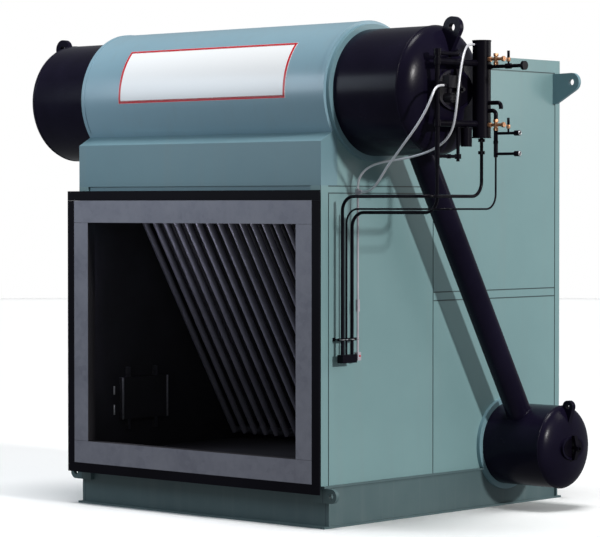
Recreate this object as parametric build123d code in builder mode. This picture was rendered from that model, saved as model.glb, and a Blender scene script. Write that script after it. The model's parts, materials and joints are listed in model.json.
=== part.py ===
"""Two-drum heat recovery steam generator on a channel base.

Millimetres. X runs along the drums, Y from the gas inlet to the rear, Z up.
The origin is the middle of the base, on the ground.
"""
from build123d import *
import math
import os

os.makedirs("parts", exist_ok=True)

# Casing
case_width = 2494.0
case_depth = 2820.0
wall = 100.0
floor_thickness = 100.0
roof_thickness = 171.0
roof_rise = 320.0
seam_width = 9.0
seam_depth = 6.0
front_post = 76.0
rear_post = 66.0
mid_seam = 1248.0
front_panel_drop = 59.0
band_low = 1585.0
band_high = 1648.0
rim_seam_drop = 103.0

# Base frame
base_height = 304.0
base_setback = 55.0
base_side_margin = 8.0
base_web = 15.0
base_flange = 15.0
end_toe = 47.0
side_toe = 19.0
inner_toe = 125.0
cross_flange_width = 150.0

# Front header over the gas inlet
header_depth = 174.0
header_gap = 33.0
header_height = 316.0
header_slope_rise = 66.0
lintel_recess = 12.0

# Gas inlet and outlet frames
duct_overhang = 51.5
duct_height = 2156.0
duct_reach = 76.0
inlet_low = 251.0
outlet_drop = 25.0
outlet_inset = 110.0
angle_leg = 72.0
angle_thickness = 10.0
liner_side = 153.0
liner_end = 168.5
liner_gap = 2.0
weld_gap = 0.5

# Steam drum
steam_radius = 457.0
steam_setback = 547.0
steam_rise = 355.0
steam_overhang = 613.0
steam_plate = 20.0
steam_head_depth = 150.0
jacket_radius = 518.0
collar_radius = 495.0
collar_reach = 33.0

# Mud drum
mud_radius = 311.0
mud_setback = 694.0
mud_rise = 71.0
mud_overhang = 542.0
mud_plate = 20.0
mud_head_depth = 95.0
mud_collar_margin = 40.0
mud_collar_reach = 29.0

# Downcomers and boiler tubes
downcomer_standoff = 253.0
downcomer_radius = 95.0
downcomer_wall = 12.0
tube_radius = 25.5
tube_margin = 45.0
tubes_per_row = 20
row_offset = 468.0
inner_rows_per_side = 3

# Manways
manway_long = 400.0
manway_short = 290.0
manway_rim = 22.0
manway_reach = 14.0
handhole_long = 265.0
handhole_short = 185.0
handhole_rim = 18.0
handhole_reach = 12.0
crab_width = 38.0
crab_height = 46.0
crab_bolt_radius = 13.0
crab_bolt_reach = 34.0
crab_nut = 26.0
manway_cover_back = 12.0
manway_cover_gap = 3.0

# Lifting lugs
base_lug_thickness = 32.0
base_lug_radius = 52.0
base_lug_hole = 22.5
base_lug_reach = 73.0
base_lug_drop = 68.0
base_lug_lap = 97.0
wall_lug_thickness = 30.0
wall_lug_inset = 76.0
wall_lug_radius = 72.0
wall_lug_hole = 26.0
wall_lug_reach = 178.0
wall_lug_drop = 173.0
wall_lug_foot_drop = 340.0
wall_lug_head_drop = 105.0
drum_lug_thickness = 40.0
steam_lug_radius = 77.0
steam_lug_hole = 28.0
steam_lug_reach = 145.0
steam_lug_drop = 19.0
steam_lug_near = 25.0
steam_lug_far = 125.0
mud_lug_radius = 46.0
mud_lug_hole = 18.0
mud_lug_reach = 66.0
mud_lug_drop = 3.0
mud_lug_near = 8.0
mud_lug_far = 75.0
steam_lug_foot = 150.0
mud_lug_foot = 100.0

# Access panel in the left wall
panel_front = 324.0
panel_width = 505.0
panel_low = 630.0
panel_height = 330.0
panel_gap = 2.0
panel_cover = 8.0
panel_lap = 45.0
panel_proud = 34.0
dog_width = 26.0
dog_depth = 30.0
dog_reach = 78.0
dog_inset = 83.0
dog_spacing = 295.0

# Water column, gauge trim and level controls on the right head
# A rise is above the steam drum's axis and a drop below it
column_standoff = 90.0
column_y = 201.0
column_radius = 65.0
column_drop = 338.0
column_rise = 352.0
column_cap = 8.0
column_lip = 3.0
column_gland_drop = 33.0
stand_standoff = 50.0
stand_y = 245.0
stand_radius = 17.0
stand_rise = 277.0
stand_fitting = 26.0
fitting_length = 46.0
bridle_radius = 24.0
bridle_rise = 189.0
bridle_drop = 240.0
nozzle_y = 60.0
nozzle_radius = 20.0
vent_radius = 15.0
vent_rise = 246.0
vent_y = 20.0
vent_bend = 30.0
gauge_x = 127.0
valve_rise = 216.0
valve_drop = 247.0
valve_half = 40.0
valve_body = 13.0
valve_branch = 11.0
valve_nut = 19.0
valve_nut_length = 20.0
valve_stem = 56.0
outlet_pipe_radius = 13.0
outlet_pipe_reach = 386.0
outlet_body_radius = 19.0
outlet_body_length = 44.0
outlet_flange_radius = 32.0
outlet_flange_length = 22.0
lever_x = 238.0
lever_height = 90.0
lever_radius = 7.0
elbow_high_drop = 91.0
elbow_low_drop = 146.0
elbow_radius = 15.0
elbow_reach = 172.0
elbow_drop = 45.0
elbow_bend = 30.0
cock_high_drop = 307.0
cock_low_drop = 451.0
cock_radius = 10.0
cock_reach = 212.0
cock_nose_radius = 19.0
cock_nose = 42.0
cutoff_y = 47.0
cutoff_radius = 39.0
cutoff_low_drop = 400.0
cutoff_high_drop = 268.0
cutoff_drain_y = 38.0
cutoff_drain_drop = 505.0
cutoff_cross_drop = 470.0
cutoff_cross_radius = 23.0
cutoff_union_radius = 18.0
level_box_y = 187.0
level_box_rise = 47.0
level_box_reach = 62.0
level_box_size = 84.0
level_box_depth = 66.0
level_box_round = 8.0
level_gland_drop = 28.0
level_cover_radius = 34.0
level_cover_drop = 112.0

# Drain lines down the right wall; drops are below the steam drum's axis
drain_standoff = 73.0
drain_radius = 12.0
thin_drain_radius = 7.0
drain_bend = 105.0
column_drain_drop = 749.0
gauge_drain_drop = 838.0
stand_drain_drop = 863.0
column_drain_y = 147.0
gauge_drain_y = 197.0
stand_drain_y = 252.0
stand_union_drop = 551.0
union_drop = 27.0
union_spacing = 87.0
manifold_low = 1177.0
manifold_high = 1236.0
manifold_margin = 25.0
manifold_lap = 26.0
clamp_z = 1343.0
clamp_height = 20.0
clamp_thickness = 14.0
clamp_margin = 24.0
clamp_pad = 26.0
clamp_stud_radius = 6.0

# Cable conduit and flexible conduits
conduit_y = 318.0
conduit_radius = 8.0
conduit_low = 1190.0
conduit_drop = 739.0
conduit_head_size = 28.0
conduit_head_height = 44.0
conduit_box_low = 1540.0
conduit_box_height = 85.0
conduit_box_width = 24.0
conduit_foot_height = 58.0
conduit_foot_width = 38.0
conduit_round = 5.0
gland_radius = 13.0
gland_length = 22.0
flex_diameter = 17.0
flex_bend_share = 0.45
# Each bend: share of the way along X, step along Y from the conduit, share of the way up
level_flex_bends = (
    (0.2630, -26.0, 0.0924),
    (0.4020, -58.0, 0.2418),
    (0.5633, -108.0, 0.3614),
    (0.7060, -152.0, 0.4728),
    (0.8300, -171.0, 0.5883),
    (0.9256, -174.0, 0.7120),
    (0.9876, -172.0, 0.8179),
    (1.0124, -158.0, 0.9076),
    (1.0074, -122.0, 0.9701),
)
column_flex_bends = (
    (0.0344, 14.0, 0.1124),
    (0.1071, 24.0, 0.1558),
    (0.2347, 34.0, 0.1844),
    (0.4133, 54.0, 0.2032),
    (0.6173, 66.0, 0.2268),
    (0.8151, 74.0, 0.2702),
    (0.9592, 68.0, 0.3274),
    (1.0459, 58.0, 0.4024),
    (1.0918, 45.0, 0.4931),
    (1.1148, 45.0, 0.6154),
    (1.1148, 66.0, 0.7495),
    (1.0918, 117.0, 0.8698),
    (1.0459, 196.0, 0.9586),
)
level_flex_lead = 74.0
level_flex_tail = 46.0
column_flex_lead = 54.0
column_flex_tail = 62.0

# General
seat = 0.3
overrun = 20.0

front = -case_depth / 2
rear = case_depth / 2
half_width = case_width / 2
inner_half = half_width - wall
duct_top = inlet_low + duct_height
header_bottom = duct_top + header_gap
header_top = header_bottom + header_height
header_back_top = header_top + header_slope_rise
steam_height = header_top + steam_rise
roof_top = steam_height + roof_rise
roof_low = roof_top - roof_thickness
outlet_low = roof_top - outlet_drop - duct_height
floor_top = base_height + floor_thickness
mud_height = floor_top + mud_rise
steam_y = front + steam_setback
mud_y = rear - mud_setback
steam_seam = half_width + steam_overhang
mud_seam = half_width + mud_overhang
steam_apex = steam_seam + steam_head_depth
mud_apex = mud_seam + mud_head_depth
shell_seat = steam_radius + seat
header_inner = front + header_depth
base_web_y = front + base_setback
base_web_x = half_width + base_side_margin
base_half = base_web_x + side_toe
inlet_half = half_width + duct_overhang
outlet_half = half_width - outlet_inset
steam_axis = Axis((0, steam_y, steam_height), (1, 0, 0))
mud_axis = Axis((0, mud_y, mud_height), (1, 0, 0))


def across(x):
    """Plane square to X at x, with Y and Z as its own axes."""
    return Plane.YZ.offset(x)


def facing(y):
    """Plane at depth y, with X and Z as its own axes, that extrudes to the front."""
    return Plane.XZ.offset(-y)


def span(low, high, bottom, top, mode=Mode.ADD):
    """Rectangle between four limits in the open sketch."""
    with Locations(((low + high) / 2, (bottom + top) / 2)):
        Rectangle(high - low, top - bottom, mode=mode)


def rod(start, end, radius, mode=Mode.ADD):
    """Round bar between two points in the open part."""
    run = Vector(*end) - Vector(*start)
    with BuildSketch(Plane(origin=start, z_dir=run)) as section:
        Circle(radius)
    extrude(section.sketch, amount=run.length, mode=mode)


def post(at, low, high, radius, mode=Mode.ADD):
    """Upright round bar over a plan point in the open part."""
    rod((at.X, at.Y, low), (at.X, at.Y, high), radius, mode)


def nut(start, end, radius):
    """Hexagon bar between two points in the open part."""
    run = Vector(*end) - Vector(*start)
    with BuildSketch(Plane(origin=start, z_dir=run)) as section:
        RegularPolygon(radius, 6)
    extrude(section.sketch, amount=run.length)


def bent_pipe(points, radius, bend):
    """Pipe swept along straight runs with tangent bends, in the open part."""
    with BuildLine() as route:
        FilletPolyline(*points, radius=bend)
    with BuildSketch(Plane(origin=route.line @ 0, z_dir=route.line % 0)) as section:
        Circle(radius)
    sweep(section.sketch, path=route.line)


def mirrored(source, plane):
    """Copy of a finished piece on the other side of a plane."""
    with BuildPart() as copy:
        mirror(source.part, about=plane)
    return copy


def both_sides(source, plane):
    """A finished piece and its mirror image as one node."""
    with BuildPart() as pair:
        add(source.part)
        mirror(source.part, about=plane)
    return pair


def write(piece, node):
    """Label a finished piece and save it."""
    piece.part.label = node
    export_step(piece.part, f"parts/{node}.step")


# Base frame: channels at the ends, flanged beams along the sides, one cross beam
with BuildPart() as base_channel:
    with BuildSketch(across(-base_half)):
        span(base_web_y, base_web_y + base_web, 0, base_height)
        span(base_web_y - end_toe, base_web_y, 0, base_flange)
        span(base_web_y - end_toe, base_web_y, base_height - base_flange, base_height)
    extrude(amount=2 * base_half)
base_end_channels = both_sides(base_channel, Plane.XZ)

side_beam_end = -base_web_y - base_web
mud_collar_radius = mud_radius + mud_collar_margin
with BuildPart() as base_beam:
    with BuildSketch(facing(side_beam_end)):
        span(base_web_x - base_web, base_web_x, 0, base_height)
        span(base_web_x - inner_toe, base_half, 0, base_flange)
        span(base_web_x - inner_toe, base_half, base_height - base_flange, base_height)
    extrude(amount=2 * side_beam_end)
    with BuildSketch(across(base_web_x - inner_toe - overrun)):
        with Locations((mud_y, mud_height)):
            Circle(mud_collar_radius + seat)
    extrude(amount=inner_toe + side_toe + 2 * overrun, mode=Mode.SUBTRACT)
base_side_beams = both_sides(base_beam, Plane.YZ)

cross_half = base_web_x - inner_toe
with BuildPart() as base_cross_beam:
    with BuildSketch(across(-cross_half)):
        span(-base_web / 2, base_web / 2, 0, base_height)
        span(-cross_flange_width / 2, cross_flange_width / 2, 0, base_flange)
        span(-cross_flange_width / 2, cross_flange_width / 2, base_height - base_flange, base_height)
    extrude(amount=2 * cross_half)

# Floor, in front of and behind the mud drum
with BuildPart() as casing_floor:
    with BuildSketch(across(-inner_half)):
        span(front, rear, base_height, floor_top)
        with Locations((mud_y, mud_height)):
            Circle(mud_radius + seat, mode=Mode.SUBTRACT)
    extrude(amount=2 * inner_half)

# Angles on the steam drum where header, roof and jacket meet
header_back = steam_y - math.sqrt(jacket_radius**2 - (header_back_top - steam_height) ** 2)
roof_front = steam_y + math.sqrt(jacket_radius**2 - (roof_top - steam_height) ** 2)
header_angle = math.degrees(math.atan2(header_back_top - steam_height, header_back - steam_y)) % 360
roof_angle = math.degrees(math.atan2(roof_top - steam_height, roof_front - steam_y))
header_inner_angle = 180 + math.degrees(math.acos((steam_y - header_inner) / shell_seat))
roof_low_angle = math.degrees(math.asin((roof_low - steam_height) / shell_seat))


def on_drum(radius, angle):
    """Point in the YZ plane on a circle about the steam drum."""
    turn = math.radians(angle)
    return (steam_y + radius * math.cos(turn), steam_height + radius * math.sin(turn))


def drum_arc(radius, start, end):
    """Arc about the steam drum in the open line."""
    CenterArc((steam_y, steam_height), radius, start, end - start)


# Side walls: panel seams on the outer face, a bite for each drum
with BuildPart() as right_wall:
    with BuildSketch(across(inner_half)):
        with BuildLine():
            Polyline(
                on_drum(shell_seat, header_inner_angle),
                (header_inner, header_bottom),
                (front, header_bottom),
                (front, base_height),
                (rear, base_height),
                (rear, roof_low),
                on_drum(shell_seat, roof_low_angle),
            )
            drum_arc(shell_seat, header_inner_angle, 360 + roof_low_angle)
        make_face()
        with Locations((mud_y, mud_height)):
            Circle(mud_radius + seat, mode=Mode.SUBTRACT)
    extrude(amount=wall)
    first_seam = front + front_post
    middle_seam = front + mid_seam
    last_seam = rear - rear_post
    front_panel_top = header_bottom - front_panel_drop
    with BuildSketch(across(half_width)):
        for seam_y, top in ((first_seam, front_panel_top), (middle_seam, roof_low), (last_seam, roof_low)):
            span(seam_y, seam_y + seam_width, base_height, top)
        span(first_seam, middle_seam, header_bottom - seam_width, header_bottom)
        span(first_seam, middle_seam, front_panel_top, front_panel_top + seam_width)
        span(middle_seam, last_seam, band_low, band_low + seam_width)
        span(middle_seam, last_seam, band_high, band_high + seam_width)
    extrude(amount=-seam_depth, mode=Mode.SUBTRACT)

# The left wall has the same skin and an opening for the access panel
panel_y = front + panel_front
with BuildPart() as left_wall:
    mirror(right_wall.part, about=Plane.YZ)
    with BuildSketch(across(-half_width - overrun)):
        span(panel_y, panel_y + panel_width, panel_low, panel_low + panel_height)
    extrude(amount=wall + 2 * overrun, mode=Mode.SUBTRACT)

# Access panel: cover plate outside, insulated plug that stands proud inside, and four dogs round it
with BuildPart() as access_panel:
    with BuildSketch(across(-half_width - panel_cover)):
        span(
            panel_y - panel_lap,
            panel_y + panel_width + panel_lap,
            panel_low - panel_lap,
            panel_low + panel_height + panel_lap,
        )
    extrude(amount=panel_cover)
    with BuildSketch(across(-half_width)):
        span(
            panel_y + panel_gap,
            panel_y + panel_width - panel_gap,
            panel_low + panel_gap,
            panel_low + panel_height - panel_gap,
        )
    extrude(amount=wall + panel_proud)
panel_top = panel_low + panel_height
first_dog = panel_y + dog_inset
with BuildPart() as panel_dogs:
    with BuildSketch(across(-inner_half)):
        for dog_y in (first_dog, first_dog + dog_spacing):
            span(dog_y - dog_width / 2, dog_y + dog_width / 2, panel_low - dog_reach, panel_low)
            span(dog_y - dog_width / 2, dog_y + dog_width / 2, panel_top, panel_top + dog_reach)
    extrude(amount=dog_depth)

# Header box over the inlet, with its sloping top against the drum jacket
with BuildPart() as front_header:
    with BuildSketch(across(-half_width)):
        with BuildLine():
            Polyline(
                on_drum(shell_seat, header_angle),
                (header_back, header_back_top),
                (front, header_top),
                (front, header_bottom),
                (header_inner, header_bottom),
                on_drum(shell_seat, header_inner_angle),
            )
            drum_arc(shell_seat, header_inner_angle, header_angle)
        make_face()
    extrude(amount=case_width)

# Lintel behind the top of the inlet frame, stepped back under the header
opening_top = duct_top - angle_leg - liner_end
with BuildPart() as inlet_lintel:
    with BuildSketch(across(-inner_half)):
        span(front, header_inner, opening_top, duct_top)
        span(front + lintel_recess, header_inner, duct_top, header_bottom)
    extrude(amount=2 * inner_half)

# Roof slab, with a seam round its rim
with BuildPart() as roof:
    with BuildSketch(across(-half_width)):
        with BuildLine():
            Polyline(
                on_drum(shell_seat, roof_angle),
                (roof_front, roof_top),
                (rear, roof_top),
                (rear, roof_low),
                on_drum(shell_seat, roof_low_angle),
            )
            drum_arc(shell_seat, roof_low_angle, roof_angle)
        make_face()
    extrude(amount=case_width)
    rim_front = on_drum(shell_seat, roof_low_angle)[0]
    rim_seam = roof_top - rim_seam_drop
    for side in (-half_width, half_width - seam_depth):
        with BuildSketch(across(side)):
            span(rim_front + wall, rear - rear_post, rim_seam, rim_seam + seam_width)
        extrude(amount=seam_depth, mode=Mode.SUBTRACT)

# Rear wall, closed all round the gas outlet
outlet_opening_low = outlet_low + angle_leg + liner_end
outlet_opening_top = outlet_low + duct_height - angle_leg - liner_end
outlet_opening_half = outlet_half - angle_leg - liner_side
with BuildPart() as rear_wall:
    with BuildSketch(facing(rear)):
        span(-inner_half, inner_half, floor_top, roof_low)
        span(
            -outlet_opening_half,
            outlet_opening_half,
            outlet_opening_low,
            outlet_opening_top,
            mode=Mode.SUBTRACT,
        )
    extrude(amount=wall)


def angle_bar(low, high, bottom, top, leg_low, leg_high, leg_bottom, leg_top):
    """One angle bar of a duct frame: a flange leg and a leg back to the casing."""
    with BuildSketch(facing(front - duct_reach + angle_thickness)) as flange_leg:
        span(low, high, bottom, top)
    extrude(flange_leg.sketch, amount=angle_thickness)
    with BuildSketch(facing(front)) as back_leg:
        span(leg_low, leg_high, leg_bottom, leg_top)
    extrude(back_leg.sketch, amount=duct_reach)


def duct_flange(low, duct_half):
    """Black angle frame round a gas opening on the front face."""
    top = low + duct_height
    leg_half = duct_half - angle_leg
    leg_low = low + angle_leg
    leg_top = top - angle_leg
    leg_out = leg_half + angle_thickness
    with BuildPart() as frame:
        angle_bar(-duct_half, duct_half, leg_top, top, -leg_out, leg_out, leg_top, leg_top + angle_thickness)
        angle_bar(-duct_half, duct_half, low, leg_low, -leg_out, leg_out, leg_low - angle_thickness, leg_low)
        side_low = leg_low + weld_gap
        side_top = leg_top - weld_gap
        angle_bar(leg_half, duct_half, side_low, side_top, leg_half, leg_out, side_low, side_top)
        angle_bar(-duct_half, -leg_half, side_low, side_top, -leg_out, -leg_half, side_low, side_top)
    return frame


def duct_liner(low, duct_half):
    """Galvanised insulation frame inside a duct flange, in four lengths."""
    leg_half = duct_half - angle_leg
    opening_half = leg_half - liner_side
    bottom = low + angle_leg + weld_gap
    top = low + duct_height - angle_leg - weld_gap
    outer = leg_half - weld_gap
    opening_low = low + angle_leg + liner_end
    opening_high = low + duct_height - angle_leg - liner_end
    with BuildPart() as frame:
        with BuildSketch(facing(front)):
            span(-outer, outer, bottom, opening_low)
            span(-outer, outer, opening_high, top)
            span(opening_half, outer, opening_low + liner_gap, opening_high - liner_gap)
            span(-outer, -opening_half, opening_low + liner_gap, opening_high - liner_gap)
        extrude(amount=duct_reach)
    return frame


inlet_flange = duct_flange(inlet_low, inlet_half)
inlet_liner = duct_liner(inlet_low, inlet_half)
outlet_flange = mirrored(duct_flange(outlet_low, outlet_half), Plane.XZ)
outlet_liner = mirrored(duct_liner(outlet_low, outlet_half), Plane.XZ)


def drum_shell(y, z, radius, plate, seam):
    """Open-ended drum shell along X."""
    with BuildPart() as shell:
        with BuildSketch(across(-seam)):
            with Locations((y, z)):
                Circle(radius)
                Circle(radius - plate, mode=Mode.SUBTRACT)
        extrude(amount=2 * seam)
    return shell


def drum_heads(y, z, radius, plate, seam, depth, axis):
    """Dished heads on both ends of a drum."""
    with BuildPart() as head:
        with BuildSketch(facing(y)):
            with Locations((seam, z)):
                Ellipse(depth, radius)
                Ellipse(depth - plate, radius - plate, mode=Mode.SUBTRACT)
            span(seam, seam + depth, z, z + radius, mode=Mode.INTERSECT)
        revolve(axis=axis)
    return both_sides(head, Plane.YZ)


steam_drum_shell = drum_shell(steam_y, steam_height, steam_radius, steam_plate, steam_seam)
steam_drum_heads = drum_heads(
    steam_y, steam_height, steam_radius, steam_plate, steam_seam, steam_head_depth, steam_axis
)
mud_drum_shell = drum_shell(mud_y, mud_height, mud_radius, mud_plate, mud_seam)
mud_drum_heads = drum_heads(mud_y, mud_height, mud_radius, mud_plate, mud_seam, mud_head_depth, mud_axis)

# Jacket over the top of the steam drum, and the collars at its ends
with BuildPart() as drum_jacket:
    with BuildSketch(across(-half_width)):
        with BuildLine():
            drum_arc(jacket_radius, roof_angle, header_angle)
            Line(on_drum(jacket_radius, header_angle), on_drum(shell_seat, header_angle))
            drum_arc(shell_seat, roof_angle, header_angle)
            Line(on_drum(jacket_radius, roof_angle), on_drum(shell_seat, roof_angle))
        make_face()
    extrude(amount=case_width)


def wall_collar(y, z, inner, outer, reach):
    """Ring on the right wall round a drum."""
    with BuildPart() as collar:
        with BuildSketch(across(half_width)):
            with Locations((y, z)):
                Circle(outer)
                Circle(inner + seat, mode=Mode.SUBTRACT)
        extrude(amount=reach)
    return both_sides(collar, Plane.YZ)


steam_drum_collars = wall_collar(steam_y, steam_height, steam_radius, collar_radius, collar_reach)
mud_drum_collars = wall_collar(mud_y, mud_height, mud_radius, mud_collar_radius, mud_collar_reach)

# Downcomers: pipes from drum to drum, cut to saddle on both
drum_run = Vector(0, mud_y - steam_y, mud_height - steam_height)
slope = drum_run.normalized()
across_slope = Vector(0, slope.Z, -slope.Y)
downcomer_x = half_width + downcomer_standoff
with BuildPart() as downcomer:
    with BuildSketch(Plane(origin=(downcomer_x, steam_y, steam_height), z_dir=drum_run)):
        Circle(downcomer_radius)
        Circle(downcomer_radius - downcomer_wall, mode=Mode.SUBTRACT)
    extrude(amount=drum_run.length)
    with BuildSketch(across(downcomer_x - downcomer_radius - overrun)):
        with Locations((steam_y, steam_height)):
            Circle(steam_radius + seat)
        with Locations((mud_y, mud_height)):
            Circle(mud_radius + seat)
    extrude(amount=2 * downcomer_radius + 2 * overrun, mode=Mode.SUBTRACT)
downcomers = both_sides(downcomer, Plane.YZ)

# Boiler tubes: each leaves the steam drum square to its shell, runs along the slope
# and turns to meet the mud drum square to its shell
steam_centre = Vector(0, steam_y, steam_height)
mud_centre = Vector(0, mud_y, mud_height)
steam_turn = math.degrees(math.atan2(slope.Y, -slope.Z))
mud_turn = math.degrees(math.atan2(-slope.Z, slope.Y))
tube_pitch = 2 * (inner_half - tube_margin) / (tubes_per_row - 1)
row_spacing = row_offset / (inner_rows_per_side + 1)


def row_corners(offset):
    """Start, two bends and end of a tube that lies offset in front of the drum plane."""
    leave = math.radians(steam_turn * offset / row_offset)
    enter = math.radians(mud_turn * offset / row_offset)
    down = slope * math.cos(leave) + across_slope * math.sin(leave)
    up = across_slope * math.sin(enter) - slope * math.cos(enter)
    return (
        steam_centre + down * (steam_radius - tube_radius),
        steam_centre + down * (offset / math.sin(leave)),
        mud_centre + up * (offset / math.sin(enter)),
        mud_centre + up * (mud_radius - tube_radius),
    )


def tube_row(offset, count):
    """One row of boiler tubes across the casing."""
    with BuildPart() as tube:
        with BuildLine() as route:
            Polyline(*row_corners(offset))
        with BuildSketch(Plane(origin=route.line @ 0, z_dir=route.line % 0)):
            Circle(tube_radius)
        sweep(path=route.line, transition=Transition.RIGHT)
        with BuildSketch(across(-tube_radius - overrun)):
            with Locations((steam_y, steam_height)):
                Circle(steam_radius + seat)
            with Locations((mud_y, mud_height)):
                Circle(mud_radius + seat)
        extrude(amount=2 * tube_radius + 2 * overrun, mode=Mode.SUBTRACT)
    with BuildPart() as row:
        with GridLocations(tube_pitch, tube_pitch, count, 1):
            add(tube.part)
    return row


front_tube_row = tube_row(row_offset, tubes_per_row)
rear_tube_row = tube_row(-row_offset, tubes_per_row)

# Inner rows, on both sides of the drum plane, every second one staggered by half a pitch
inner_rows = []
for step in range(inner_rows_per_side):
    staggered = step % 2 == 0
    for side in (1, -1):
        offset = side * (step + 1) * row_spacing
        inner_rows.append(tube_row(offset, tubes_per_row - 1 if staggered else tubes_per_row))
with BuildPart() as inner_tube_bank:
    add([row.part for row in inner_rows])


def lug_plate(x, z, ring, hole, near, far, foot_z, y, thickness):
    """Lifting lug in a plane facing the front: an eye on a tapered foot."""
    with BuildSketch(facing(y + thickness / 2)) as plate:
        with Locations((x, z)):
            Circle(ring)
        with Locations(((near + far) / 2, foot_z)):
            Rectangle(far - near, ring)
        make_hull()
        with Locations((x, z)):
            Circle(hole, mode=Mode.SUBTRACT)
    extrude(plate.sketch, amount=thickness)


def head_envelope(y, z, radius, seam, depth, axis):
    """Solid of a right head's outer form with its seat clearance, for cutting what sits on it."""
    with BuildPart() as envelope:
        with BuildSketch(facing(y)):
            with Locations((seam, z)):
                Ellipse(depth + seat, radius + seat)
            span(seam, seam + depth + seat, z, z + radius + seat, mode=Mode.INTERSECT)
            span(seam - depth, seam, z, z + radius + seat)
        revolve(axis=axis)
    return envelope


steam_envelope = head_envelope(
    steam_y, steam_height, steam_radius, steam_seam, steam_head_depth, steam_axis
)
mud_envelope = head_envelope(mud_y, mud_height, mud_radius, mud_seam, mud_head_depth, mud_axis)


def head_lug(seam, step, z, ring, hole, near, far, foot, y, envelope):
    """Lugs on both heads of a drum, with each foot cut to the dished plate."""
    with BuildPart() as lug:
        lug_plate(seam + step, z, ring, hole, seam + near, seam + far, z - foot, y, drum_lug_thickness)
        add(envelope.part, mode=Mode.SUBTRACT)
    return both_sides(lug, Plane.YZ)


steam_drum_lugs = head_lug(
    steam_seam,
    steam_lug_reach,
    steam_height + steam_radius - steam_lug_drop,
    steam_lug_radius,
    steam_lug_hole,
    steam_lug_near,
    steam_lug_far,
    steam_lug_foot,
    steam_y,
    steam_envelope,
)
mud_drum_lugs = head_lug(
    mud_seam,
    mud_lug_reach,
    mud_height + mud_radius - mud_lug_drop,
    mud_lug_radius,
    mud_lug_hole,
    mud_lug_near,
    mud_lug_far,
    mud_lug_foot,
    mud_y,
    mud_envelope,
)

# Lugs at the four corners of the base, against the end webs
base_lug_x = half_width + base_lug_reach
base_lug_z = base_height - base_lug_drop
with BuildPart() as base_lug:
    with BuildSketch(facing(base_web_y)):
        span(
            half_width - base_lug_lap,
            base_lug_x,
            base_lug_z - base_lug_radius,
            base_lug_z + base_lug_radius,
        )
        with Locations((base_lug_x, base_lug_z)):
            Circle(base_lug_radius)
            Circle(base_lug_hole, mode=Mode.SUBTRACT)
    extrude(amount=base_lug_thickness)
base_lugs = both_sides(both_sides(base_lug, Plane.YZ), Plane.XZ)

# Lugs near the top of the side walls, at the rear
wall_lug_x = half_width + wall_lug_reach
wall_lug_z = roof_top - wall_lug_drop
with BuildPart() as wall_lug:
    with BuildSketch(facing(rear - wall_lug_inset + wall_lug_thickness / 2)):
        with Locations((wall_lug_x, wall_lug_z)):
            Circle(wall_lug_radius)
        span(
            half_width,
            half_width + wall_lug_thickness,
            roof_top - wall_lug_foot_drop,
            roof_top - wall_lug_head_drop,
        )
        make_hull()
        with Locations((wall_lug_x, wall_lug_z)):
            Circle(wall_lug_hole, mode=Mode.SUBTRACT)
    extrude(amount=wall_lug_thickness)
rear_lifting_lugs = both_sides(wall_lug, Plane.YZ)


def manway_rim_pair(y, z, apex, long, short, rim, reach, envelope):
    """Oval rims standing on both heads of a drum."""
    with BuildPart() as oval:
        with BuildSketch(across(apex + reach)):
            with Locations((y, z)):
                Ellipse(long / 2, short / 2)
                Ellipse(long / 2 - rim, short / 2 - rim, mode=Mode.SUBTRACT)
        extrude(amount=-long / 2)
        add(envelope.part, mode=Mode.SUBTRACT)
    return both_sides(oval, Plane.YZ)


def manway_cover_pair(y, z, apex, long, short, rim, reach):
    """Oval covers inside the rims, each hung from an arched crab by its bolt."""
    inner_long = long / 2 - rim - manway_cover_gap
    inner_short = short / 2 - rim - manway_cover_gap
    face = apex + reach
    with BuildPart() as cover:
        with BuildSketch(across(apex + seat)):
            with Locations((y, z)):
                Ellipse(inner_long, inner_short)
        extrude(amount=manway_cover_back)
        with BuildSketch(facing(y + crab_width / 2)):
            with BuildLine():
                Polyline(
                    (face, z + short / 2),
                    (face + crab_height / 2, z + short / 2),
                    (face + crab_height, z),
                    (face + crab_height / 2, z - short / 2),
                    (face, z - short / 2),
                    (face, z - short / 2 + rim),
                    (face + crab_height / 2, z - rim),
                    (face + crab_height / 2, z + rim),
                    (face, z + short / 2 - rim),
                    close=True,
                )
            make_face()
        extrude(amount=crab_width)
        rod((apex + seat, y, z), (face + crab_height + crab_bolt_reach, y, z), crab_bolt_radius)
        nut((face + crab_height, y, z), (face + crab_height + crab_bolt_radius, y, z), crab_nut)
    return both_sides(cover, Plane.YZ)


steam_manway = (steam_y, steam_height, steam_apex, manway_long, manway_short, manway_rim, manway_reach)
mud_handhole = (mud_y, mud_height, mud_apex, handhole_long, handhole_short, handhole_rim, handhole_reach)
steam_manway_rims = manway_rim_pair(*steam_manway, steam_envelope)
steam_manway_covers = manway_cover_pair(*steam_manway)
mud_handhole_rims = manway_rim_pair(*mud_handhole, mud_envelope)
mud_handhole_covers = manway_cover_pair(*mud_handhole)

# Water column behind the right manway, standpipe in front of it, bridle pipes between
column = Vector(steam_apex + column_standoff, steam_y + column_y, 0)
stand = Vector(steam_apex + stand_standoff, steam_y - stand_y, 0)
gauge = Vector(column.X + gauge_x, column.Y, 0)
lever = Vector(column.X + lever_x, column.Y, 0)
column_low = steam_height - column_drop
column_high = steam_height + column_rise
stand_high = steam_height + stand_rise
stand_union_z = steam_height - stand_union_drop
bridle_high = steam_height + bridle_rise
bridle_low = steam_height - bridle_drop


def on_bridle(y, z):
    """Point at depth y on the line from the standpipe to the water column."""
    share = (y - stand.Y) / (column.Y - stand.Y)
    return (stand.X + share * (column.X - stand.X), y, z)


def clear_column():
    """Cut the water column's place out of the open part."""
    post(column, column_low, column_high, column_radius + seat, Mode.SUBTRACT)


def clear_standpipe(radius):
    """Cut the standpipe's place out of the open part."""
    post(stand, stand_union_z, stand_high, radius + seat, Mode.SUBTRACT)


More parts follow.
